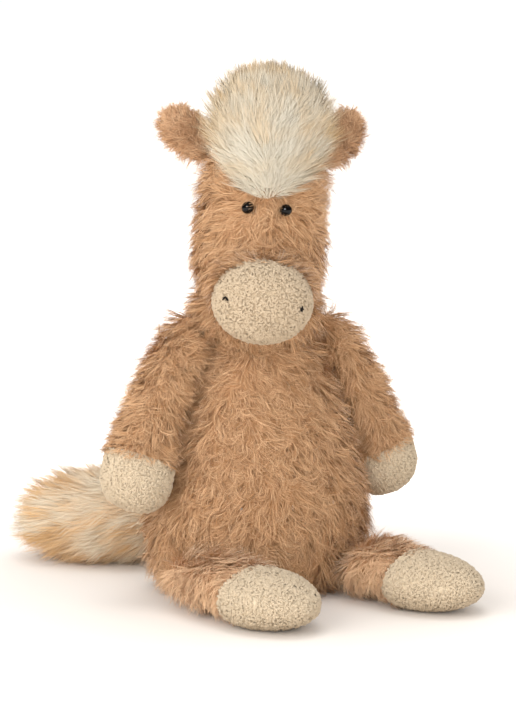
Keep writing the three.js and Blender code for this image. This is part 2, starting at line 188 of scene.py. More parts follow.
def make_world(lighting=0.9, reflected=0.1, seen=1.02):
    """A plain white world, set apart for how it lights, how it reflects and how the camera sees it."""
    world = bpy.data.worlds.new("studio")
    world.use_nodes = True
    nodes, links = world.node_tree.nodes, world.node_tree.links
    ray = nodes.new("ShaderNodeLightPath")
    plain = nodes.new("ShaderNodeMapRange")
    set_inputs(plain, {"To Min": lighting, "To Max": reflected})
    links.new(ray.outputs["Is Glossy Ray"], plain.inputs["Value"])
    strength = nodes.new("ShaderNodeMix")
    set_inputs(strength, {"B": seen})
    links.new(ray.outputs["Is Camera Ray"], strength.inputs["Factor"])
    links.new(plain.outputs["Result"], strength.inputs["A"])
    links.new(strength.outputs["Result"], nodes["Background"].inputs["Strength"])
    set_inputs(nodes["Background"], {"Color": (1, 1, 1, 1)})
    bpy.context.scene.world = world


def make_studio():
    make_world()
    make_light("key_light", place=(-1.75, -0.75, 0.75), size=2.0, power=29, colour=(1, 0.98, 0.945))
    make_light("fill_light", place=(-0.2, -1.95, 0.5), size=1.4, power=11.5)
    make_light("top_light", place=(-0.1, 0.0, 2.2), size=1.2, power=9)
    make_light("glint_light", place=(-1.0, -1.15, 0.95), size=0.75, power=34, glint=True)
    bpy.context.scene.view_settings.view_transform = "Standard"
    bm = bmesh.new()
    bmesh.ops.create_grid(bm, x_segments=8, y_segments=8, size=30)
    floor = new_piece("floor", bm)
    floor.data.materials.append(floor_material())


# What the materials are put together from
def new_material(name):
    material = bpy.data.materials.new(name)
    material.use_nodes = True
    nodes = material.node_tree.nodes
    return material, nodes, material.node_tree.links, nodes["Principled BSDF"]


def new_group(name, inputs, outputs):
    group = bpy.data.node_groups.new(name, "ShaderNodeTree")
    for socket, kind, value in inputs:
        made = group.interface.new_socket(socket, in_out="INPUT", socket_type=kind)
        made.default_value = value
    for socket, kind in outputs:
        group.interface.new_socket(socket, in_out="OUTPUT", socket_type=kind)
    return group, group.nodes.new("NodeGroupInput"), group.nodes.new("NodeGroupOutput")


def set_inputs(node, values):
    for socket, value in values.items():
        node.inputs[socket].default_value = value


def colour_mix(nodes, links, share, first, second, blend="MIX"):
    """Mixes two colours, each a value or another node's output."""
    mix = nodes.new("ShaderNodeMix")
    mix.data_type = "RGBA"
    mix.blend_type = blend
    links.new(share, mix.inputs["Factor"])
    for socket, colour in (("A", first), ("B", second)):
        if isinstance(colour, tuple):
            mix.inputs[socket].default_value = colour
        else:
            links.new(colour, mix.inputs[socket])
    return mix.outputs["Result"]


def pattern(nodes, links, kind, scale):
    """A texture on Object coordinates."""
    place = nodes.new("ShaderNodeTexCoord")
    texture = nodes.new(kind)
    set_inputs(texture, {"Scale": scale})
    links.new(place.outputs["Object"], texture.inputs["Vector"])
    return texture


def rgba(red, green, blue):
    """A colour given as it looks on a screen, from 0 to 255, as the linear values that are mixed."""
    linear = [((c / 255 + 0.055) / 1.055) ** 2.4 if c > 10 else c / 255 / 12.92 for c in (red, green, blue)]
    return (*linear, 1)


STRAND_COLOURS = ("Dark root", "Dark tip", "Light root", "Light tip")


def strand_tone_group():
    """Colour of a strand from its own map: across it is the strand's shade, up it is root to tip. A root set
    darker than its tip is painted shade deep in the pile, or at a loop's foot in the cloth.
    """
    inputs = [(name, "NodeSocketColor", (0.5, 0.5, 0.5, 1)) for name in STRAND_COLOURS]
    group, given, result = new_group("strand_tone", inputs, [("Color", "NodeSocketColor")])
    nodes, links = group.nodes, group.links
    uv = nodes.new("ShaderNodeUVMap")
    uv.uv_map = "OFBake"
    split = nodes.new("ShaderNodeSeparateXYZ")
    links.new(uv.outputs["UV"], split.inputs[0])
    rise = nodes.new("ShaderNodeMapRange")
    rise.interpolation_type = "SMOOTHSTEP"
    links.new(split.outputs["Y"], rise.inputs["Value"])
    dark, light = [colour_mix(nodes, links, rise.outputs["Result"], given.outputs[shade + " root"],
                              given.outputs[shade + " tip"]) for shade in ("Dark", "Light")]
    links.new(colour_mix(nodes, links, split.outputs["X"], dark, light), result.inputs["Color"])
    return group


def cloth_weave_group():
    """Height and shade of a knitted backing cloth."""
    inputs = [("Base", "NodeSocketColor", (0.5, 0.5, 0.5, 1)), ("Spread", "NodeSocketFloat", 0.3)]
    outputs = [("Color", "NodeSocketColor"), ("Height", "NodeSocketFloat")]
    group, given, result = new_group("cloth_weave", inputs, outputs)
    nodes, links = group.nodes, group.links
    knots = pattern(nodes, links, "ShaderNodeTexVoronoi", 900)
    patches = pattern(nodes, links, "ShaderNodeTexNoise", 120)
    darker = colour_mix(nodes, links, given.outputs["Spread"], given.outputs["Base"], patches.outputs["Fac"],
                        blend="MULTIPLY")
    links.new(darker, result.inputs["Color"])
    links.new(knots.outputs["Distance"], result.inputs["Height"])
    return group


def strand_material(name, dark_root, dark_tip, light_root, light_tip, roughness=0.6, sheen=0.55):
    """A hair or yarn. Seen from behind, a strand is lit by its flat face and not by its softened normal."""
    material, nodes, links, shader = new_material(name)
    tone = nodes.new("ShaderNodeGroup")
    tone.node_tree = STRAND_TONE
    for socket, colour in zip(STRAND_COLOURS, (dark_root, dark_tip, light_root, light_tip)):
        tone.inputs[socket].default_value = rgba(*colour)
    links.new(tone.outputs["Color"], shader.inputs["Base Color"])
    set_inputs(shader, {"Roughness": roughness, "Specular IOR Level": 0.25, "Sheen Weight": sheen,
                        "Sheen Roughness": 0.4, "Sheen Tint": (1, 0.86, 0.72, 1)})
    surface = nodes.new("ShaderNodeNewGeometry")
    lit = nodes.new("ShaderNodeMix")
    lit.data_type = "VECTOR"
    links.new(surface.outputs["Backfacing"], lit.inputs[0])
    links.new(surface.outputs["Normal"], lit.inputs[4])
    links.new(surface.outputs["True Normal"], lit.inputs[5])
    links.new(lit.outputs[1], shader.inputs["Normal"])
    return material


def cloth_material(name, colour, spread):
    material, nodes, links, shader = new_material(name)
    weave = nodes.new("ShaderNodeGroup")
    weave.node_tree = CLOTH_WEAVE
    set_inputs(weave, {"Base": rgba(*colour), "Spread": spread})
    links.new(weave.outputs["Color"], shader.inputs["Base Color"])
    bump = nodes.new("ShaderNodeBump")
    set_inputs(bump, {"Distance": 0.0004})
    links.new(weave.outputs["Height"], bump.inputs["Height"])
    links.new(bump.outputs["Normal"], shader.inputs["Normal"])
    set_inputs(shader, {"Roughness": 0.9, "Specular IOR Level": 0.2})
    return material


def gloss_material(name, colour):
    """A polished plastic with a faint haze."""
    material, nodes, links, shader = new_material(name)
    haze = pattern(nodes, links, "ShaderNodeTexNoise", 700)
    spread = nodes.new("ShaderNodeMapRange")
    set_inputs(spread, {"To Min": 0.04, "To Max": 0.08})
    links.new(haze.outputs["Fac"], spread.inputs["Value"])
    links.new(spread.outputs["Result"], shader.inputs["Roughness"])
    tint = colour_mix(nodes, links, haze.outputs["Fac"], rgba(*colour), rgba(*[c + 5 for c in colour]))
    links.new(tint, shader.inputs["Base Color"])
    set_inputs(shader, {"Specular IOR Level": 0.22})
    return material


def floor_material(near=0.1, far=0.38, glow=0.62):
    """A pale matt floor that glows white, more the further it lies from the toy, so that it fades into the
    white of the world: painted light, since the floor is no lamp.
    """
    material, nodes, links, shader = new_material("pale_floor")
    grain = pattern(nodes, links, "ShaderNodeTexNoise", 3)
    tint = colour_mix(nodes, links, grain.outputs["Fac"], (0.84, 0.79, 0.74, 1), (0.86, 0.81, 0.76, 1))
    links.new(tint, shader.inputs["Base Color"])
    place = nodes.new("ShaderNodeTexCoord")
    away = nodes.new("ShaderNodeVectorMath")
    away.operation = "LENGTH"
    links.new(place.outputs["Object"], away.inputs[0])
    fade = nodes.new("ShaderNodeMapRange")
    fade.interpolation_type = "SMOOTHSTEP"
    set_inputs(fade, {"From Min": near, "From Max": far, "To Max": glow})
    links.new(away.outputs["Value"], fade.inputs["Value"])
    # The glow is painted light: emission that rises with distance from the toy, so that the floor near it is
    # lit by the lamps alone.
    white = colour_mix(nodes, links, fade.outputs["Result"], (0, 0, 0, 1), (1, 1, 1, 1))
    links.new(white, shader.inputs["Emission Color"])
    set_inputs(shader, {"Roughness": 0.9, "Specular IOR Level": 0.0, "Emission Strength": 1.0})
    return material


# Furs and yarns, each with its dark root and tip and its light root and tip, then cloths and plastics. Roots
# darker than their tips are painted shade deep in the pile; the golden tips of mane and tail are their own
# colour.
STRAND_TONE = strand_tone_group()
CLOTH_WEAVE = cloth_weave_group()
# The light strands' roots are darker than their tips: painted shade deep in the pile.
TAN_FUR = strand_material(
    "tan_fur_strands", (180, 132, 86), (175, 127, 82), (212, 168, 125), (233, 192, 150))
# A lighter copy of the tan fur for the legs: painted light, as if they stood in more light. Its light roots,
# darker than their tips, are painted shade deep in the pile.
LIT_LEG_FUR = strand_material(
    "lit_leg_fur_strands", (226, 182, 138), (216, 172, 128), (228, 188, 147), (238, 203, 166))
# Both roots are darker than their tips: painted shade deep in the pile.
EAR_FUR = strand_material(
    "ear_fur_strands", (166, 121, 84), (175, 130, 91), (200, 158, 119), (224, 185, 146))
MANE_PILE = strand_material(
    "mane_strands", (216, 198, 166), (212, 172, 114), (215, 206, 187), (206, 199, 183),
    roughness=0.7, sheen=0.1)
TAIL_PILE = strand_material(
    "tail_strands", (228, 194, 148), (222, 172, 110), (230, 214, 188), (230, 217, 195),
    roughness=0.7, sheen=0.1)
LOOPS = strand_material(
    "loop_yarn", (195, 176, 149), (196, 177, 150), (196, 178, 152), (199, 181, 156),
    roughness=0.85, sheen=0.1)
# A darker copy of the hands' and feet's yarn for the muzzle: painted shade, as if it stood in less light.
# Its roots, where each loop dips into the cloth, are darker still: painted shade between the loops.
SHADED_PAD_LOOPS = strand_material(
    "shaded_pad_loop_yarn", (176, 155, 129), (185, 165, 138), (184, 164, 138), (194, 175, 150),
    roughness=0.85, sheen=0.1)
TAN_CLOTH = cloth_material("tan_cloth", (205, 158, 115), spread=0.15)
# Darker than the hands' and feet's backing cloth: painted shade in the gaps between the muzzle's loops.
CREAM_CLOTH = cloth_material("cream_cloth", (188, 168, 141), spread=0.1)
LIGHT_CREAM_CLOTH = cloth_material("light_cream_cloth", (212, 194, 167), spread=0.1)
PALE_CLOTH = cloth_material("pale_cloth", (232, 220, 198), spread=0.1)
FIBRE = cloth_material("filling_fibre", (240, 240, 236), spread=0.15)
PELLETS = cloth_material("pellet_bag_cloth", (222, 222, 216), spread=0.2)
THREAD = cloth_material("black_thread", (26, 20, 18), spread=0.5)
EYE_GLOSS = gloss_material("eye_gloss", (5, 4, 4))
WASHER_PLASTIC = gloss_material("washer_plastic", (226, 226, 220))


# Cloth skins
def new_piece(name, bm):
    mesh = bpy.data.meshes.new(name)
    bm.to_mesh(mesh)
    bm.free()
    obj = bpy.data.objects.new(name, mesh)
    bpy.context.scene.collection.objects.link(obj)
    for polygon in mesh.polygons:
        polygon.use_smooth = True
    return obj


def attach(obj, material, body):
    """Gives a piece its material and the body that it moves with."""
    obj.data.materials.append(material)
    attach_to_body(obj, body)


def mesh_of(bm):
    mesh = bpy.data.meshes.new("skin")
    bm.to_mesh(mesh)
    return mesh


def merged_nodes(names):
    """The nodes' meshes in one bmesh, with their loose triangles merged."""
    bm = bmesh.new()
    for name in names:
        bm.from_mesh(frame["nodes"][name].data)
    bmesh.ops.remove_doubles(bm, verts=bm.verts, dist=1e-6)
    return bm


def skin_of(names, grid, smoothing):
    """One closed smooth skin round the nodes' outsides."""
    obj = new_piece("raw_skin", merged_nodes(names))
    remesh = obj.modifiers.new("close", "REMESH")
    remesh.mode = "VOXEL"
    remesh.voxel_size = grid
    smooth = obj.modifiers.new("smooth", "SMOOTH")
    smooth.factor = 0.5
    smooth.iterations = smoothing
    made = bpy.data.meshes.new_from_object(obj.evaluated_get(bpy.context.evaluated_depsgraph_get()))
    skin = bmesh.new()
    skin.from_mesh(made)
    raw = obj.data
    bpy.data.objects.remove(obj)
    bpy.data.meshes.remove(raw)
    bpy.data.meshes.remove(made)
    bmesh.ops.delete(skin, geom=inner_shells(skin), context="VERTS")
    return skin


def inner_shells(bm):
    """The vertices that aren't part of the largest connected shell."""
    left, shells = set(bm.verts), []
    while left:
        start = left.pop()
        shell, stack = {start}, [start]
        while stack:
            for edge in stack.pop().link_edges:
                for vert in edge.verts:
                    if vert in left:
                        left.discard(vert)
                        shell.add(vert)
                        stack.append(vert)
        shells.append(shell)
    shells.sort(key=len)
    return [vert for shell in shells[:-1] for vert in shell]


def cut_at(bm, place, normal):
    """What lies on the far side of a plane, closed where it is cut."""
    geometry = bm.verts[:] + bm.edges[:] + bm.faces[:]
    cut = bmesh.ops.bisect_plane(bm, geom=geometry, plane_co=place, plane_no=normal, clear_inner=True)
    rim = [part for part in cut["geom_cut"] if isinstance(part, bmesh.types.BMEdge)]
    bmesh.ops.holes_fill(bm, edges=rim, sides=0)
    bmesh.ops.recalc_face_normals(bm, faces=bm.faces)
    return bm


def sink(bm, depth, seam=None, axis=None):
    """Moves a skin inwards along its normals, and less so beside a seam, so that the pile hangs over it."""
    bm.normal_update()
    moved = []
    for vert in bm.verts:
        here = depth
        if seam is not None:
            beside = min(max(1 + (vert.co - seam).dot(axis) / SEAM_SLOPE, 0), 1)
            here = depth + (SEAM_DEPTH - depth) * beside
        moved.append(vert.co - vert.normal * here)
    for vert, place in zip(bm.verts, moved):
        vert.co = place
    bmesh.ops.smooth_vert(bm, verts=bm.verts, factor=0.5, use_axis_x=True, use_axis_y=True, use_axis_z=True)
    bm.normal_update()
    return bm


def hold_up(bm, height):
    """Keeps a skin above a height."""
    for vert in bm.verts:
        vert.co.z = max(vert.co.z, height)


def add_cloth(name, bm, body, material, cad_node):
    """Makes a skin the padded cloth that is seen in place of a CAD node."""
    hold_up(bm, FLOOR_CLEARANCE)
    obj = new_piece(name, bm)
    attach(obj, material, body)
    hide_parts(cad_node)


# Arithmetic on many points at once
def unit(vectors):
    return vectors / np.maximum(np.linalg.norm(vectors, axis=-1, keepdims=True), 1e-12)


def dot(a, b):
    return np.sum(a * b, axis=-1, keepdims=True)


def rising(values, start, width):
    """0 up to the start, and 1 from a width past it."""
    return np.clip((values - start) / width, 0, 1)


def falling(values, start, width):
    """0 down to the start, and 1 from a width below it."""
    return np.clip((start - values) / width, 0, 1)


def in_plane(vectors, normals):
    """Vectors laid down on a surface."""
    return unit(vectors - normals * dot(vectors, normals))


def turned(vectors, normals, angles):
    """Vectors turned about the surface's normals."""
    angles = np.asarray(angles)[:, None]
    return vectors * np.cos(angles) + np.cross(normals, vectors) * np.sin(angles)


def above_underside(points, normals):
    return ~((points[:, 2] < UNDERSIDE_HEIGHT) & (normals[:, 2] < UNDERSIDE_NORMAL))


def drift(points, wavelength, seed, waves=10):
    """A smooth random value over space, about from -1 to 1."""
    rng = np.random.default_rng(seed)
    travel = unit(rng.normal(size=(waves, 3))) * (2 * math.pi / wavelength)
    travel = travel * rng.uniform(0.6, 1.5, (waves, 1))
    return np.sin(points @ travel.T + rng.uniform(0, 2 * math.pi, waves)).sum(1) / math.sqrt(waves)


def scatter(mesh, count, rng, keep=None):
    """Random points spread evenly over a mesh, with its smooth normals there, less those not kept."""
    mesh.calc_loop_triangles()
    corners = np.empty(len(mesh.loop_triangles) * 3, np.int32)
    mesh.loop_triangles.foreach_get("vertices", corners)
    corners = corners.reshape(-1, 3)
    places = np.empty(len(mesh.vertices) * 3)
    normals = np.empty(len(mesh.vertices) * 3)
    mesh.vertices.foreach_get("co", places)
    mesh.vertices.foreach_get("normal", normals)
    places, normals = places.reshape(-1, 3)[corners], normals.reshape(-1, 3)[corners]
    area = np.linalg.norm(np.cross(places[:, 1] - places[:, 0], places[:, 2] - places[:, 0]), axis=1)
    chosen = rng.choice(len(area), count, p=area / area.sum())
    a, b = rng.random(count), rng.random(count)
    over = a + b > 1
    a[over], b[over] = 1 - a[over], 1 - b[over]
    weights = np.stack([1 - a - b, a, b], 1)[:, :, None]
    roots = (places[chosen] * weights).sum(1)
    upright = unit((normals[chosen] * weights).sum(1))
    if keep is None:
        return roots, upright
    kept = keep(roots, upright)
    return roots[kept], upright[kept]


def nearest(points, centres):
    """Which of the centres lies nearest to each point."""
    tree = KDTree(len(centres))
    for i, centre in enumerate(centres):
        tree.insert(centre, i)
    tree.balance()
    return np.array([tree.find(point)[1] for point in points])


# Fur and yarn
def strand_paths(roots, normals, flow, length, rise, curl, shares):
    """Points along each strand: it leaves the cloth steeply, then lies along the flow and curls aside."""
    steps = np.diff(shares)
    points, here = [roots], roots
    for share, step in zip((shares[:-1] + shares[1:]) / 2, steps):
        lean = rise[0] + (rise[1] - rise[0]) * share
        along = turned(flow, normals, curl * share)
        heading = along * np.cos(lean)[:, None] + normals * np.sin(lean)[:, None]
        here = here + heading * (length * step)[:, None]
        points.append(here)
    return np.stack(points, 1)


def gathered(paths, lengths, lead, member, clump, shares):
    """Strands drawn towards the leading strand of their tuft, most at the tips."""
    middle = paths[lead]
    gather = (clump * shares ** 1.3)[None, :, None]
    scale = (lengths / lengths[lead][member])[:, None, None]
    start = middle[member][:, :1]
    target = start + (middle[member] - start) * scale
    return paths + (target - paths) * gather


def grow(name, skin, body, material, slot, comb, count, seed, keep=None, length=0.0125, rise=(0.95, 0.2),
         tuft=7, clump=0.54, turn=0.8, curl=1.1, width=0.00034, rings=4, shade=(0.5, 0.12, 0.36),
         tone=None, longer=None, lift=None, soften=0.35, ragged=0.14):
    """Grows tufted strands on a skin and makes them one piece.

    comb, keep, tone, longer and lift are functions of the roots: the way the fur lies, where it grows, how
    light it is, how long, and how far it stands off. rise is a strand's lean at its root and tip, shade the
    middle, spread between tufts and spread between strands of its tone, and ragged the spread of the rise.
    """
    rng = np.random.default_rng(seed)
    roots, normals = scatter(skin, count, rng, keep)
    count = len(roots)
    lead = rng.choice(count, max(count // tuft, 1), replace=False)
    member = nearest(roots, roots[lead])
    tufts = len(lead)
    flow = in_plane(comb(roots, normals), normals)
    swirl = (drift(roots, WIDE_SWIRL, seed + 1) + 0.6 * drift(roots, FINE_SWIRL, seed + 2)) * turn * 0.8
    own_turn = rng.normal(0, STRAND_TURN, count)
    tuft_turn = rng.normal(0, TUFT_TURN * turn, tufts)
    tuft_rise = rng.normal(0, ragged, tufts)
    tuft_curl = rng.normal(0, curl, tufts)
    tuft_length = rng.uniform(*TUFT_LENGTHS, tufts)
    shares = np.linspace(0, 1, rings) ** 0.9
    extra = lift(roots) if lift is not None else 0
    lean = (rise[0] + extra + tuft_rise[member], rise[1] + extra + 0.6 * tuft_rise[member])
    lengths = length * tuft_length[member] * rng.uniform(*STRAND_LENGTHS, count)
    if longer is not None:
        lengths = lengths * longer(roots)
    flow = turned(flow, normals, swirl + tuft_turn[member] + own_turn)
    paths = strand_paths(roots, normals, flow, lengths, lean, tuft_curl[member], shares)
    paths = gathered(paths, lengths, lead, member, clump, shares)

    # A strand is thinner at its root, full from a third of its length and pointed at its tip
    heading = unit(np.gradient(paths, axis=1))
    facing = unit(normals[:, None, :] + rng.normal(0, 0.5, (count, 1, 3)))
    across = unit(np.cross(heading, facing))
    taper = (1 - shares ** 1.6) * (0.55 + 0.45 * np.minimum(shares / 0.3, 1))
    half = 0.5 * width * rng.uniform(*STRAND_WIDTHS, (count, 1, 1)) * taper[None, :, None]
    sides = np.stack([paths - across * half, paths + across * half], 2)[:, :-1].reshape(count, -1, 3)
    vertices = np.concatenate([sides, paths[:, -1:]], 1)
    soft = np.repeat(unit(soften * normals[:, None, :] + (1 - soften) * facing), vertices.shape[1], 1)

    tone_here = shade[0] + tone(roots) if tone is not None else shade[0]
    tones = tone_here + rng.normal(0, shade[1], tufts)[member] + rng.normal(0, shade[2], count)

    # It is a flat ribbon, two points wide but for its tip
    quads = rings - 2
    faces = [[2 * i, 2 * i + 1, 2 * i + 3, 2 * i + 2] for i in range(quads)]
    faces.append([2 * quads, 2 * quads + 1, 2 * quads + 2])
    rise_up = np.append(np.repeat(shares[:-1], 2), 1.0)
    copies_piece(name, vertices, soft, faces, tones, rise_up, body, material)


def add_loops(name, skin, body, material, count, seed, keep, rings=5, sides=3):
    """Covers a skin with small standing loops of yarn, each a bent tube."""
    rng = np.random.default_rng(seed)
    roots, normals = scatter(skin, count, rng, keep)
    count = len(roots)
    tangent = in_plane(rng.normal(size=(count, 3)), normals)
    up = unit(normals + LOOP_TILT * unit(rng.normal(size=(count, 3))))
    tangent = in_plane(tangent, up)
    out = np.cross(tangent, up)
    size = LOOP_RADIUS * rng.uniform(*LOOP_SIZES, (count, 1, 1))
    angle = np.linspace(-LOOP_HALF_ARC, LOOP_HALF_ARC, rings)[None, :, None]
    angle = angle + rng.normal(0, 0.25, (count, 1, 1))
    centre = (roots + normals * LOOP_RADIUS * rng.uniform(0, 0.9, (count, 1)))[:, None, :]
    outward = np.sin(angle) * tangent[:, None, :] + np.cos(angle) * up[:, None, :]
    skew = out[:, None, :] * np.sin(1.5 * angle) * LOOP_SKEW
    middle = centre + (outward + skew) * size
    thick = YARN_RADIUS * rng.uniform(*YARN_SIZES, (count, 1, 1, 1))
    around = np.linspace(0, 2 * math.pi, sides, endpoint=False)[None, None, :, None]
    ring = np.cos(around) * outward[:, :, None, :] + np.sin(around) * out[:, None, None, :]
    vertices = (middle[:, :, None, :] + ring * thick).reshape(count, -1, 3)
    soft = unit(ring + normals[:, None, None, :]).reshape(count, -1, 3)
    faces = []
    for i in range(rings - 1):
        for j in range(sides):
            k = (j + 1) % sides
            faces.append([i * sides + j, i * sides + k, (i + 1) * sides + k, (i + 1) * sides + j])
    rise = np.repeat(np.cos(np.linspace(-2.3, 2.3, rings)) * 0.5 + 0.5, sides)
    tones = rng.normal(0.5, 0.14, count)
    copies_piece(name, vertices, soft, faces, tones, rise, body, material)


def copies_piece(name, vertices, soft, faces, tones, rise, body, material):
    """One piece of many like strands or loops.

    vertices and soft hold each copy's points and normals, faces the faces of one copy, tones a shade for
    each copy and rise the height of each of a copy's points. The piece's map holds shade and height.
    """
    count, each = vertices.shape[:2]
    vertices[..., 2] = np.maximum(vertices[..., 2], FLOOR_CLEARANCE)
    corner = np.array([point for face in faces for point in face])
    loops = (np.arange(count)[:, None] * each + corner[None, :]).ravel()
    totals = np.tile(np.array([len(face) for face in faces]), count)
    height = np.clip(rise[corner], 0.01, 0.99)
    uv = np.stack([np.repeat(np.clip(tones, 0.01, 0.99), len(corner)), np.tile(height, count)], 1)
    mesh = bpy.data.meshes.new(name)
    mesh.vertices.add(count * each)
    mesh.vertices.foreach_set("co", vertices.ravel())
    mesh.loops.add(len(loops))
    mesh.loops.foreach_set("vertex_index", loops.astype(np.int32))
    mesh.polygons.add(len(totals))
    mesh.polygons.foreach_set("loop_start", np.concatenate([[0], np.cumsum(totals)[:-1]]).astype(np.int32))
    mesh.polygons.foreach_set("use_smooth", np.ones(len(totals), bool))
    mesh.uv_layers.new(name="OFBake")
    mesh.update(calc_edges=True)
    mesh.uv_layers["OFBake"].data.foreach_set("uv", uv.ravel())
    mesh.validate()
    mesh.normals_split_custom_set_from_vertices(soft.reshape(-1, 3))
    obj = bpy.data.objects.new(name, mesh)
    bpy.context.scene.collection.objects.link(obj)
    attach(obj, material, body)


# Body
def comb_down(points, normals):
    return np.tile([0.0, 0.0, -1.0], (len(points), 1)) + 0.25 * normals * [1, 1, 0]


def make_body():
    bm = sink(skin_of(["body_cover", "body_stuffing", "pellet_bag"], grid=0.003, smoothing=6), FUR_DEPTH)
    hold_up(bm, SEAT_CLEARANCE)
    skin = mesh_of(bm)
    add_cloth("body_cloth", bm, "torso", TAN_CLOTH, "body_cover")

    def comb(points, normals):
        """Down all over, and out over the rim of the seat."""
        return comb_down(points, normals) + falling(points[:, 2:], 0.012, 0.012) * normals * [2, 2, 0]

    def longer(points):
        """The pile stands out most round the foot of the body and at the shoulders."""
        return 1 + 0.3 * falling(points[:, 2], 0.075, 0.05) + 0.3 * rising(points[:, 2], 0.125, 0.02)

    for side, sign in SIDES.items():
        def keep(points, normals, sign=sign):
            return (points[:, 0] * sign > 0) & above_underside(points, normals)

        grow(f"body_fur_{side}", skin, "torso", TAN_FUR, "tan_fur", comb, count=76000, seed=20 + sign,
             keep=keep, longer=longer)


# Neck
def make_neck(radius=0.026, stretch=(1.3, 1.08, 0.78), drop=0.001):
    bm = bmesh.new()
    bmesh.ops.create_uvsphere(bm, u_segments=40, v_segments=24, radius=radius)
    bmesh.ops.scale(bm, vec=stretch, verts=bm.verts)
    bmesh.ops.translate(bm, vec=NECK - UP * drop, verts=bm.verts)
    skin = mesh_of(bm)
    add_cloth("neck_cloth", bm, "neck", TAN_CLOTH, "neck_stuffing")

    def keep(points, normals):
        return np.abs(normals[:, 2]) < 0.75

    grow("neck_fur", skin, "neck", TAN_FUR, "tan_fur", comb_down, count=13000, seed=31, keep=keep,
         length=0.014)


# Head
def head_corner(local, start, width):
    """1 on the two upper corners of the head, and 0 below them and between them."""
    return rising(local[:, 2], 0.062, 0.012) * rising(np.abs(local[:, 0]), start, width)


def comb_face(points):
    """Down the face and out over the cheeks and the upper corners."""
    local = head_local(points)
    aside = np.sign(local[:, 0])
    flow = np.zeros_like(local)
    flow[:, 2] = -1
    flow[:, 0] = aside * rising(np.abs(local[:, 0]), 0, 0.03) * 0.55
    corner = head_corner(local, 0.01, 0.008)
    flow[:, 0] += aside * corner * 1.6
    flow[:, 2] += corner
    return flow @ np.array(HEAD_TURN).T


def brow(points, eye):
    """1 on the brow just above an eye, fading round it."""
    away = points - eye
    near = np.linalg.norm(away, axis=1)
    above = np.clip((unit(away) @ HEAD_UP) * 2 - 0.5, 0, 1)
    return above * np.clip(2 - near / BROW_REACH, 0, 1)


def make_head():
    whole = skin_of(["head_cover", "head_stuffing", "muzzle_cover"], grid=0.0028, smoothing=6)
    seam = from_head(MUZZLE_CENTRE - SNOUT_AXIS * MUZZLE_SEAM)
    axis = HEAD_TURN @ SNOUT_AXIS
    pad = sink(cut_at(whole.copy(), seam - axis * PAD_OVERLAP, axis), depth=0.0009)
    pad_skin = mesh_of(pad)
    # The muzzle's backing is the darker cream cloth: painted shade between its loops.
    add_cloth("muzzle_cloth", pad, "head", CREAM_CLOTH, "muzzle_cover")
    rest = sink(whole, FUR_DEPTH, seam, axis)
    skin = mesh_of(rest)
    add_cloth("head_cloth", rest, "head", TAN_CLOTH, "head_cover")
    eyes = [np.array(place) for place, outward in EYE_SEATS.values()]

    def past_seam(points):
        return (points - np.array(seam)) @ np.array(axis)

    def either_brow(points):
        return np.maximum(brow(points, eyes[0]), brow(points, eyes[1]))

    def keep(points, normals):
        """Behind the muzzle's seam, clear of the eyes, and not under the forelock."""
        overhang = 0.001 + 0.003 * np.clip(normals @ HEAD_UP * 2, 0, 1)
        grows = past_seam(points) < overhang
        for eye in eyes:
            grows &= np.linalg.norm(points - eye, axis=1) > EYE_CLEARANCE
        local = head_local(points)
        forelock = (local[:, 2] > 0.064) & (np.abs(local[:, 0] + 0.002) < (local[:, 2] - 0.062) * 0.8)
        return grows & ~(forelock & (local[:, 1] < -0.02))

    def comb(points, normals):
        """As on the face, but away from the eyes and down over them from the brow."""
        flow = comb_face(points)
        for eye in eyes:
            away = points - eye
            near = np.linalg.norm(away, axis=1, keepdims=True)
            over = brow(points, eye)[:, None]
            parted = unit(away) * np.clip(1.6 - near / 0.008, 0, 1.6)
            flow = (flow + parted) * (1 - over) - 1.5 * over * HEAD_UP
        return flow

    def longer(points):
        corner = head_corner(head_local(points), 0.012, 0.01)
        return (1 + 0.45 * corner) * (1 - 0.3 * either_brow(points))

    def lift(points):
        return 0.25 * either_brow(points)

    def keep_pad(points, normals):
        return past_seam(points) > -0.0006

    grow("head_fur", skin, "head", TAN_FUR, "tan_fur", comb, count=38000, seed=41, keep=keep, length=0.0128,
         longer=longer, lift=lift)
    # The muzzle's loops take the darker copy of the yarn: painted shade.
    add_loops("muzzle_loops", pad_skin, "head", SHADED_PAD_LOOPS, count=5000, seed=43, keep=keep_pad)
    make_nostrils(pad_skin)


def make_nostrils(pad_skin):
    """Small black stitches: each nostril is a few short threads sewn into the pad."""
    faces = [tuple(polygon.vertices) for polygon in pad_skin.polygons]
    tree = BVHTree.FromPolygons([vert.co for vert in pad_skin.vertices], faces)
    for side, ((middle, height), turns) in NOSTRILS.items():
        points = []
        for across, up in turns:
            start = from_head((middle + across, WELL_AHEAD, height + up))
            place, normal, _, _ = tree.ray_cast(start, -HEAD_FRONT)
            points.append(place + normal * THREAD_HEIGHT)
        bm = bmesh.new()
        for a, b in zip(points[:-1], points[1:]):
            add_stitch(bm, a, b, THREAD_RADIUS)
        attach(new_piece("nostril_" + side, bm), THREAD, "head")


def add_stitch(bm, a, b, radius):
    """One short fat stitch from a to b, with round ends."""
    middle, along = (a + b) / 2, (b - a)
    turn = UP.rotation_difference(along).to_matrix().to_4x4()
    made = bmesh.ops.create_uvsphere(bm, u_segments=14, v_segments=10, radius=1)
    stretch = Matrix.Diagonal((radius, radius, along.length / 2 + radius, 1))
    bmesh.ops.transform(bm, matrix=Matrix.Translation(middle) @ turn @ stretch, verts=made["verts"])


# Eyes
def eye_seats(stem_end=0.0015, dome_top=0.0005):
    """The middle of each eye's dome and the way that it faces, from the two ends of the CAD eye."""
    seats = {}
    for side in SIDES:
        points = np.array([vert.co for vert in frame["nodes"]["eye_" + side].data.vertices])
        depth = points @ np.array(HEAD_FRONT)
        back = points[depth < depth.min() + stem_end].mean(0)
        outward = unit(points[depth > depth.max() - dome_top].mean(0) - back)
        seats[side] = (Vector(back + outward * EYE_REACH), Vector(outward))
    return seats


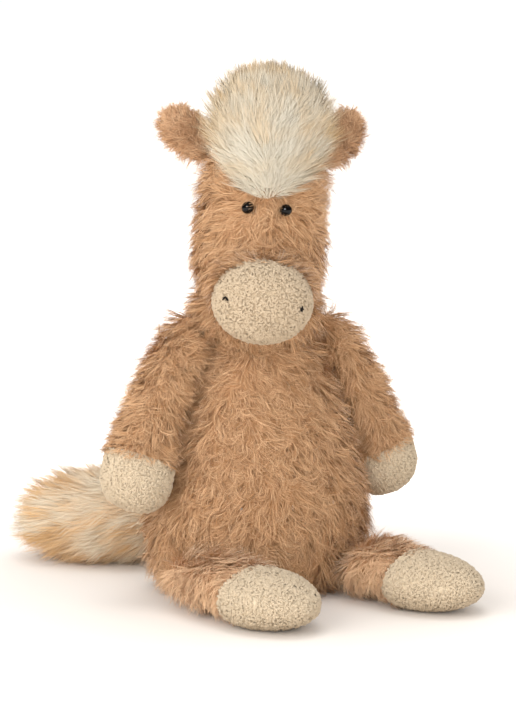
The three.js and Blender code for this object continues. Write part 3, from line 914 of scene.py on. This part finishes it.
def make_eyes():
    for side, (place, outward) in EYE_SEATS.items():
        turn = UP.rotation_difference(outward).to_matrix().to_4x4()
        bm = bmesh.new()
        bmesh.ops.create_uvsphere(bm, u_segments=48, v_segments=32, radius=EYE_RADIUS)
        bmesh.ops.scale(bm, vec=(1.0, EYE_FLATNESS, 1.0), verts=bm.verts[:])
        stem = bmesh.ops.create_cone(bm, cap_ends=True, segments=24, radius1=EYE_STEM_RADIUS,
                                     radius2=EYE_STEM_RADIUS, depth=EYE_STEM_LENGTH)
        bmesh.ops.translate(bm, vec=(0, 0, -EYE_STEM_LENGTH / 2), verts=stem["verts"])
        bmesh.ops.transform(bm, matrix=Matrix.Translation(place) @ turn, verts=bm.verts)
        obj = new_piece("eye_dome_" + side, bm)
        attach(obj, EYE_GLOSS, "head")
        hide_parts("eye_" + side)


# Mane
def comb_mane(points, normals):
    """Up and out to both sides from a parting in the middle of the brow, and down the nape behind."""
    local = head_local(points)
    aside = np.clip(local[:, 0] / 0.024, -1, 1)
    fan = unit(local - np.array([0, -0.041, 0.05]))
    top = rising(local[:, 2], 0.1, 0.024)
    fan[:, 0] += aside * (0.55 - 0.95 * top)
    fan[:, 2] += 0.6 * top
    fan[:, 0] += aside * falling(local[:, 2], 0.112, 0.03) * 0.7
    low_nape = falling(local[:, 2], 0.085, 0.03)
    nape = np.stack([aside * 0.5, 0.5 - 0.8 * low_nape, np.full(len(local), -0.9)], 1)
    fan[:, 0] *= 1 - 0.7 * rising(local[:, 1], -0.036, 0.012)
    back = rising(local[:, 1], -0.006, 0.012)[:, None]
    return (fan * (1 - back) + nape * back) @ np.array(HEAD_TURN).T


def mane_edge(points, half_width=0.026):
    """0 at the parting, rising to the sides and top of the mane."""
    local = head_local(points)
    aside = np.abs(local[:, 0]) / half_width
    above = (local[:, 2] - 0.1) / half_width
    return np.clip(np.maximum(aside, above), 0, 1.2) ** 2


def mane_crown(points):
    """1 on the crown behind the forelock, where the pile stands up and fills in."""
    local = head_local(points)
    behind = rising(local[:, 1], -0.036, 0.012) * falling(np.abs(local[:, 0]), 0.019, 0.009)
    return behind * rising(local[:, 2], 0.082, 0.012) * falling(local[:, 2], 0.124, 0.014)


def lay_forelock(bm, shift=Vector((-0.0015, 0.0045, -0.0055))):
    """Lays the forelock's lower end back on the brow."""
    for vert in bm.verts:
        local = HEAD_TURN.transposed() @ (vert.co - NECK)
        low = min(max((0.084 - local.z) / 0.018, 0), 1) * (1 if local.y < -0.02 else 0)
        vert.co += HEAD_TURN @ shift * low


def make_mane():
    cloth = sink(skin_of(["mane"], grid=0.0026, smoothing=3), depth=0.0042)
    add_cloth("mane_cloth", cloth, "head", PALE_CLOTH, "mane")
    pile = sink(skin_of(["mane"], grid=0.0026, smoothing=3), depth=0.0018)
    lay_forelock(pile)

    def keep(points, normals):
        return normals @ HEAD_UP > -0.8

    def tone(points):
        return 0.26 * drift(points, 0.014, 52) - 0.42 * mane_edge(points)

    def longer(points):
        local = head_local(points)
        flank = falling(local[:, 2], 0.112, 0.03) * np.clip(np.abs(local[:, 0]) / 0.016 - 0.5, 0, 1)
        corner = rising(local[:, 2], 0.108, 0.016)
        edges = 0.3 * mane_edge(points) * (1 - 1.5 * corner) + 0.4 * flank * (local[:, 1] < 0)
        return 0.82 + edges + 0.55 * mane_crown(points)

    def lift(points):
        local = head_local(points)
        behind = rising(local[:, 1], -0.034, 0.02)
        top = rising(local[:, 2], 0.112, 0.014)
        return 0.16 * mane_edge(points) + 0.3 * behind + 0.7 * mane_crown(points) + 0.3 * top

    grow("mane_pile", mesh_of(pile), "head", MANE_PILE, "cream_pile", comb_mane, count=30000, seed=51,
         keep=keep, length=0.0145, rise=(0.34, 0.2), tuft=11, clump=0.42, turn=0.2, curl=0.3, width=0.0003,
         rings=5, shade=(0.86, 0.07, 0.05), tone=tone, longer=longer, lift=lift, soften=0.8, ragged=0.2)


# Ears
def make_ear(side):
    ear = "ear_" + side
    bm = sink(skin_of([ear], grid=0.0016, smoothing=3), depth=0.0022)
    skin = mesh_of(bm)
    add_cloth(ear + "_cloth", bm, ear, TAN_CLOTH, ear)
    root = np.array(joint_place(ear + "_flop"))
    low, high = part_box(ear)
    reach = (np.array(low) + np.array(high)) / 2 - root
    half = np.linalg.norm(reach)

    def comb(points, normals):
        return reach / half + 0.25 * unit(points - root) + [0, 0, -0.5]

    def longer(points):
        """Longer on the lower edge and past the middle of the ear."""
        low_side = np.clip((root[2] + reach[2] - points[:, 2]) / 0.01, -1, 1)
        return 0.85 + 0.3 * low_side + 0.3 * np.clip((points - root) @ reach / half ** 2 - 1, 0, 1)

    def tone(points):
        """Darker in the middle of the ear: painted shade in its hollow."""
        middle = np.linalg.norm(points - root - reach, axis=1)
        return 0.2 - 0.45 * np.clip(1.4 - middle / 0.009, 0, 1)

    grow(ear + "_fur", skin, ear, EAR_FUR, "tan_fur", comb, count=7400, seed=60 + SIDES[side],
         length=0.0105, rise=(0.75, 0.16), clump=0.66, longer=longer, tone=tone)


# Arms and legs
def make_limb(side, limb, tip, root, axis, cuff, fur, drop, strands, loops, seed, **pile):
    """A sleeve or leg of fur, which hangs by its drop, and the looped hand or foot past its cuff."""
    body = f"{limb}_{side}"
    end = f"{tip}_{side}"
    whole = skin_of([f"{body}_cover", f"{body}_stuffing", f"{end}_cover"], grid=0.0028, smoothing=5)
    seam = root + axis * cuff
    pad = sink(cut_at(whole.copy(), seam, axis), depth=-0.0002)
    pad_skin = mesh_of(pad)
    add_cloth(f"{end}_cloth", pad, body, LIGHT_CREAM_CLOTH, f"{end}_cover")
    sleeve = sink(whole, FUR_DEPTH, seam, axis)
    skin = mesh_of(sleeve)
    add_cloth(f"{body}_cloth", sleeve, body, TAN_CLOTH, f"{body}_cover")
    along = np.array(axis)

    def past_seam(points):
        return (points - np.array(seam)) @ along

    def keep(points, normals):
        return (past_seam(points) < 0.0005) & above_underside(points, normals)

    def comb(points, normals):
        return np.tile(along, (len(points), 1)) + [0, 0, -drop]

    def longer(points):
        """Longer at the root, and shorter beside the cuff."""
        near = np.clip(1 - (points - np.array(root)) @ along / 0.035, 0, 1)
        beside = np.clip(1 + past_seam(points) / 0.012, 0, 1)
        return 1 + 0.35 * near - 0.3 * beside

    def keep_pad(points, normals):
        return past_seam(points) > 0.0006

    grow(f"{body}_fur", skin, body, fur, "tan_fur", comb, count=strands, seed=seed + SIDES[side], keep=keep,
         longer=longer, **pile)
    add_loops(f"{end}_loops", pad_skin, body, LOOPS, count=loops, seed=seed + SIDES[side] + 1,
              keep=keep_pad)


# Tail
def make_tail():
    bm = sink(skin_of(["tail"], grid=0.003, smoothing=5), depth=0.006)
    hold_up(bm, SEAT_CLEARANCE)
    skin = mesh_of(bm)
    add_cloth("tail_cloth", bm, "tail", PALE_CLOTH, "tail")
    axis = np.array(TAIL_AXIS)

    def share_of(points):
        """How far along the tail points lie, from 0 at its root to 1 at its end."""
        return (points - np.array(TAIL_ROOT)) @ axis / TAIL_LENGTH

    def comb(points, normals):
        spread = 0.45 * np.clip(share_of(points), 0, 1)[:, None]
        return np.tile(axis, (len(points), 1)) + [0, 0, -0.06] + spread * normals

    def tone(points):
        """Striped along its length, and darker at the end and below."""
        stripe = np.clip(drift(points * [1, 1, 2.2], 0.022, 72), -1, 1)
        end = rising(share_of(points), 0.7, 0.3)
        return 0.5 * stripe - 0.3 * end - 0.25 * falling(points[:, 2], 0.022, 0.022)

    def longer(points):
        return 0.85 + 0.12 * np.clip(share_of(points), 0, 1)

    def lift(points):
        return 0.55 * rising(share_of(points), 0.5, 0.3)

    grow("tail_pile", skin, "tail", TAIL_PILE, "cream_pile", comb, count=26000, seed=71, length=0.021,
         rise=(0.45, 0.12), tuft=14, clump=0.5, turn=0.16, curl=0.25, width=0.00032, rings=5,
         shade=(0.64, 0.1, 0.06), tone=tone, longer=longer, lift=lift, ragged=0.2)


# Filling, pellet bag and washers are the CAD nodes themselves
def finish_inside():
    for name, node in frame["nodes"].items():
        inside = PELLETS if name == "pellet_bag" else FIBRE
        if "washer" in name:
            inside = WASHER_PLASTIC
        for node_slot in node.material_slots:
            node_slot.material = inside


# The whole toy
make_camera()
make_studio()
finish_inside()
EYE_SEATS = eye_seats()
make_body()
make_neck()
make_head()
make_eyes()
make_mane()
for toy_side in SIDES:
    make_ear(toy_side)
    make_limb(toy_side, "arm", "hand", SHOULDERS[toy_side], arm_axis(toy_side), cuff=0.077, fur=TAN_FUR,
              drop=0.35, strands=24000, loops=3400, seed=80)
    # The legs wear the lighter copy of the tan fur: painted light.
    make_limb(toy_side, "leg", "foot", HIPS[toy_side], leg_axis(toy_side), cuff=0.05, fur=LIT_LEG_FUR,
              drop=1.0, strands=20000, loops=4600, seed=90, rise=(0.6, 0.08), clump=0.22,
              shade=(0.6, 0.08, 0.12), soften=0.85)
make_tail()
